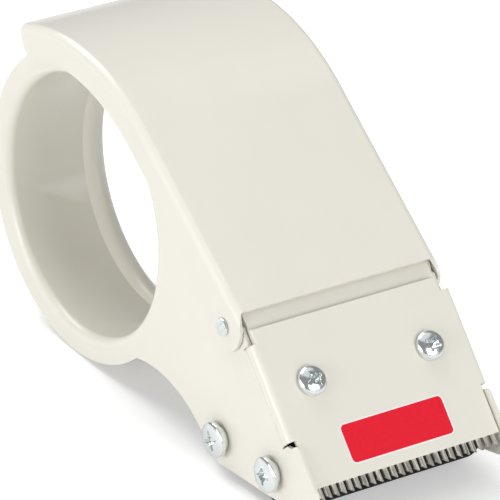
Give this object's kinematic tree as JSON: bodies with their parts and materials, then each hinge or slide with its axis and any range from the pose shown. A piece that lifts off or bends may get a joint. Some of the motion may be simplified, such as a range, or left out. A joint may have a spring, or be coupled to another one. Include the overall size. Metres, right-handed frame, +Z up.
{
  "type": "strapping tape dispenser",
  "caption": "Hand-held strapping tape dispenser of painted pressed steel, with a drum for the tape core, a sprung cover, a toothed blade and a rubber press roller.",
  "frame": {"origin": "bottom centre of the whole part as it stands on its rim and press roller", "axes": "+X across from the drum's side plate to the far cheek, -Y to the blade, +Z up"},
  "size_m": [0.0684, 0.1578, 0.0899],
  "materials": {
    "paint": "glossy off-white stoving enamel",
    "zinc": "bright zinc plate",
    "blade_steel": "ground steel, lightly oiled",
    "spring_steel": "drawn spring wire",
    "rubber": "matt black",
    "nylon": "natural nylon"
  },
  "bodies": {
    "frame": {"blade": "blade_steel", "blade_nut_far": "zinc", "blade_nut_near": "zinc", "blade_screw_far": "zinc", "blade_screw_near": "zinc", "cover_spring": "spring_steel", "frame": "paint", "front_axle": "zinc", "front_axle_screw_far": "zinc", "front_axle_screw_near": "zinc", "front_axle_washer_far": "zinc", "front_axle_washer_near": "zinc", "guide_washer_far": "zinc", "guide_washer_near": "zinc", "hinge_pin": "zinc", "inner_bracket": "paint", "lock_washer_far": "zinc", "lock_washer_near": "zinc", "rear_axle": "zinc", "rear_axle_screw_far": "zinc", "rear_axle_screw_near": "zinc", "rear_axle_washer_far": "zinc", "rear_axle_washer_near": "zinc"},
    "cover": {"cover": "paint"},
    "press_roller": {"press_roller_tyre": "rubber", "press_roller_core": "zinc", "roller_bush_near": "nylon", "roller_bush_far": "nylon"},
    "guide_roller": {"guide_roller": "nylon"}
  },
  "joints": [
    {"name": "cover_hinge", "type": "hinge", "parent": "frame", "child": "cover", "pos_m": [0, -0.03521, 0.0426], "axis": [1, 0, 0], "range_deg": [0, 18], "stiffness_Nm_per_rad": 0.05, "springref_deg": -34.38, "deforming": ["cover_spring"]},
    {"name": "press_roller_spin", "type": "hinge", "parent": "frame", "child": "press_roller", "pos_m": [0, -0.05921, 0.0112], "axis": [1, 0, 0], "continuous": true},
    {"name": "guide_roller_spin", "type": "hinge", "parent": "frame", "child": "guide_roller", "pos_m": [0, -0.03551, 0.0091], "axis": [1, 0, 0], "continuous": true}
  ]
}
